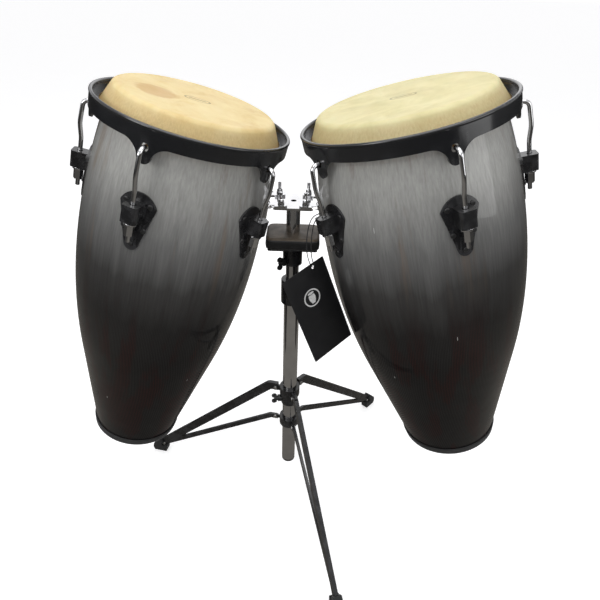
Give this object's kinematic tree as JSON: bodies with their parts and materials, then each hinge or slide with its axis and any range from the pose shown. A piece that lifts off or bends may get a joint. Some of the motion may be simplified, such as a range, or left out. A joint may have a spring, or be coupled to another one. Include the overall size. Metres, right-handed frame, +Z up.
{
  "type": "conga drums on a stand",
  "caption": "Pair of barrel-shaped conga drums with rawhide heads, hung side by side on a chrome height-adjustable folding tripod stand.",
  "frame": {"origin": "middle of the bounding box at floor level, without the hang tag and its cord", "axes": "+Z up, +X towards the larger drum, -Y towards the player, who stands on the side of the front leg"},
  "size_m": [0.8888, 0.6382, 0.9665],
  "materials": {
    "lacquered_shell": "gloss lacquer, silver grey fading to black",
    "rawhide": "cream translucent rawhide",
    "rim_enamel": "satin black",
    "black_enamel": "satin black",
    "black_rubber": "dull black",
    "rivet_steel": "bright",
    "hoop_steel": "satin",
    "cushion_vinyl": "black sides, brown top",
    "black_card": "matt black, folded",
    "cord": "black elastic cord",
    "nylon": "matt black",
    "black_bolt": "satin black",
    "black_screw": "semi-gloss black",
    "chrome": "bright chrome"
  },
  "bodies": {
    "base": {"base_tube": "chrome", "tube_plug": "black_rubber", "height_clamp": "black_enamel", "upper_collar": "black_enamel", "upper_rivets": "rivet_steel"},
    "lower_collar": {"lower_collar": "black_enamel", "lower_rivets": "rivet_steel"},
    "mast": {"inner_tube": "chrome", "tube_bush": "nylon", "top_plate": "chrome", "clamp_studs": "chrome", "flesh_hoops": "hoop_steel", "drum_brackets": "chrome", "bracket_bolts": "chrome", "tension_hooks": "chrome", "tension_washers": "chrome", "lug_screws": "black_screw", "lug_plates": "black_enamel", "tag_loop": "cord", "quinto_shell": "lacquered_shell", "quinto_head_skin": "rawhide", "quinto_rim": "rim_enamel", "quinto_bottom_ring": "black_rubber", "conga_shell": "lacquered_shell", "conga_head_skin": "rawhide", "conga_rim": "rim_enamel", "conga_bottom_ring": "black_rubber"},
    "rest": {"rest_plate": "black_enamel", "rest_cushion": "cushion_vinyl", "rest_clamp": "black_enamel"},
    "height_bolt": {"height_bolt": "black_bolt"},
    "rest_wing_bolt": {"rest_wing_bolt": "black_bolt"},
    "collar_wing_bolt": {"collar_wing_bolt": "black_bolt"},
    "hang_tag": {"hang_tag": "black_card"},
    "upper_leg_1": {"upper_strut_1": "black_enamel", "foot_1": "black_rubber", "foot_rivet_1": "rivet_steel"},
    "lower_leg_1": {"lower_strut_1": "black_enamel"},
    "upper_leg_2": {"upper_strut_2": "black_enamel", "foot_2": "black_rubber", "foot_rivet_2": "rivet_steel"},
    "lower_leg_2": {"lower_strut_2": "black_enamel"},
    "upper_leg_3": {"upper_strut_3": "black_enamel", "foot_3": "black_rubber", "foot_rivet_3": "rivet_steel"},
    "lower_leg_3": {"lower_strut_3": "black_enamel"},
    "wing_nut_1": {"wing_nut_1": "chrome"},
    "wing_nut_2": {"wing_nut_2": "chrome"},
    "wing_nut_3": {"wing_nut_3": "chrome"},
    "wing_nut_4": {"wing_nut_4": "chrome"},
    "quinto_nut_1": {"quinto_tension_nut_1": "chrome"},
    "quinto_nut_2": {"quinto_tension_nut_2": "chrome"},
    "quinto_nut_3": {"quinto_tension_nut_3": "chrome"},
    "quinto_nut_4": {"quinto_tension_nut_4": "chrome"},
    "quinto_nut_5": {"quinto_tension_nut_5": "chrome"},
    "conga_nut_1": {"conga_tension_nut_1": "chrome"},
    "conga_nut_2": {"conga_tension_nut_2": "chrome"},
    "conga_nut_3": {"conga_tension_nut_3": "chrome"},
    "conga_nut_4": {"conga_tension_nut_4": "chrome"},
    "conga_nut_5": {"conga_tension_nut_5": "chrome"}
  },
  "joints": [
    {"name": "leg_fold_1", "type": "hinge", "parent": "base", "child": "upper_leg_1", "pos_m": [0.00009, 0.0033, 0.29], "axis": [0.9472, 0.3206, 0], "range_deg": [0, 45]},
    {"name": "brace_fold_1", "type": "hinge", "parent": "lower_collar", "child": "lower_leg_1", "pos_m": [0.00009, 0.0033, 0.198], "axis": [0.9472, 0.3206, 0], "range_deg": [0, 55.75]},
    {"name": "leg_fold_2", "type": "hinge", "parent": "base", "child": "upper_leg_2", "pos_m": [0.01129, 0.05935, 0.29], "axis": [-0.7513, 0.66, 0], "range_deg": [0, 45]},
    {"name": "brace_fold_2", "type": "hinge", "parent": "lower_collar", "child": "lower_leg_2", "pos_m": [0.01129, 0.05935, 0.198], "axis": [-0.7513, 0.66, 0], "range_deg": [0, 55.75]},
    {"name": "leg_fold_3", "type": "hinge", "parent": "base", "child": "upper_leg_3", "pos_m": [-0.04285, 0.04102, 0.29], "axis": [-0.1959, -0.9806, 0], "range_deg": [0, 45]},
    {"name": "brace_fold_3", "type": "hinge", "parent": "lower_collar", "child": "lower_leg_3", "pos_m": [-0.04285, 0.04102, 0.198], "axis": [-0.1959, -0.9806, 0], "range_deg": [0, 55.75]},
    {"name": "collar_slide", "type": "slide", "parent": "base", "child": "lower_collar", "axis": [0, 0, 1], "range_m": [0, 0.03862]},
    {"name": "height_slide", "type": "slide", "parent": "base", "child": "mast", "axis": [0, 0, 1], "range_m": [0, 0.16]},
    {"name": "rest_slide", "type": "slide", "parent": "mast", "child": "rest", "axis": [0, 0, 1], "range_m": [-0.035, 0]},
    {"name": "height_bolt_turn", "type": "hinge", "parent": "base", "child": "height_bolt", "pos_m": [-0.01049, 0.05955, 0.546], "axis": [0, 1, 0], "continuous": true},
    {"name": "rest_wing_bolt_turn", "type": "hinge", "parent": "rest", "child": "rest_wing_bolt", "pos_m": [-0.0269, 0.01569, 0.628], "axis": [-0.6561, -0.7547, 0], "continuous": true},
    {"name": "collar_wing_bolt_turn", "type": "hinge", "parent": "base", "child": "collar_wing_bolt", "pos_m": [-0.03511, 0.03021, 0.266], "axis": [-0.9848, -0.1736, 0], "continuous": true},
    {"name": "wing_nut_turn_1", "type": "hinge", "parent": "mast", "child": "wing_nut_1", "pos_m": [-0.0318, 0.00538, 0.748], "axis": [0, 0, 1], "continuous": true},
    {"name": "wing_nut_turn_2", "type": "hinge", "parent": "mast", "child": "wing_nut_2", "pos_m": [-0.03697, 0.05913, 0.748], "axis": [0, 0, 1], "continuous": true},
    {"name": "wing_nut_turn_3", "type": "hinge", "parent": "mast", "child": "wing_nut_3", "pos_m": [0.01598, 0.05913, 0.748], "axis": [0, 0, 1], "continuous": true},
    {"name": "wing_nut_turn_4", "type": "hinge", "parent": "mast", "child": "wing_nut_4", "pos_m": [0.01081, 0.00538, 0.748], "axis": [0, 0, 1], "continuous": true},
    {"name": "quinto_nut_turn_1", "type": "hinge", "parent": "mast", "child": "quinto_nut_1", "pos_m": [-0.09181, 0.12631, 0.71247], "axis": [0.2702, 0.026, 0.9625], "continuous": true},
    {"name": "quinto_nut_turn_2", "type": "hinge", "parent": "mast", "child": "quinto_nut_2", "pos_m": [-0.27831, 0.1699, 0.76365], "axis": [0.2702, 0.026, 0.9625], "continuous": true},
    {"name": "quinto_nut_turn_3", "type": "hinge", "parent": "mast", "child": "quinto_nut_3", "pos_m": [-0.37458, -0.0005, 0.79528], "axis": [0.2702, 0.026, 0.9625], "continuous": true},
    {"name": "quinto_nut_turn_4", "type": "hinge", "parent": "mast", "child": "quinto_nut_4", "pos_m": [-0.24757, -0.14941, 0.76365], "axis": [0.2702, 0.026, 0.9625], "continuous": true},
    {"name": "quinto_nut_turn_5", "type": "hinge", "parent": "mast", "child": "quinto_nut_5", "pos_m": [-0.07281, -0.07103, 0.71247], "axis": [0.2702, 0.026, 0.9625], "continuous": true},
    {"name": "conga_nut_turn_1", "type": "hinge", "parent": "mast", "child": "conga_nut_1", "pos_m": [0.05159, -0.08027, 0.7246], "axis": [-0.2702, 0.026, 0.9625], "continuous": true},
    {"name": "conga_nut_turn_2", "type": "hinge", "parent": "mast", "child": "conga_nut_2", "pos_m": [0.2426, -0.16593, 0.78054], "axis": [-0.2702, 0.026, 0.9625], "continuous": true},
    {"name": "conga_nut_turn_3", "type": "hinge", "parent": "mast", "child": "conga_nut_3", "pos_m": [0.38142, -0.00318, 0.81511], "axis": [-0.2702, 0.026, 0.9625], "continuous": true},
    {"name": "conga_nut_turn_4", "type": "hinge", "parent": "mast", "child": "conga_nut_4", "pos_m": [0.2762, 0.18306, 0.78054], "axis": [-0.2702, 0.026, 0.9625], "continuous": true},
    {"name": "conga_nut_turn_5", "type": "hinge", "parent": "mast", "child": "conga_nut_5", "pos_m": [0.07236, 0.13542, 0.7246], "axis": [-0.2702, 0.026, 0.9625], "continuous": true},
    {"name": "tag_swing", "type": "hinge", "parent": "mast", "child": "hang_tag", "pos_m": [0.02723, -0.05312, 0.65695], "axis": [-0.5658, 0.8007, -0.1969], "range_deg": [0, 25]}
  ],
  "couplings": [
    {"joint": "brace_fold_1", "follows": "leg_fold_1", "ratio": 1.2388},
    {"joint": "leg_fold_2", "follows": "leg_fold_1", "ratio": 1},
    {"joint": "brace_fold_2", "follows": "leg_fold_1", "ratio": 1.2388},
    {"joint": "leg_fold_3", "follows": "leg_fold_1", "ratio": 1},
    {"joint": "brace_fold_3", "follows": "leg_fold_1", "ratio": 1.2388},
    {"joint": "collar_slide", "follows": "leg_fold_1", "m_per_rad": 0.04904}
  ]
}
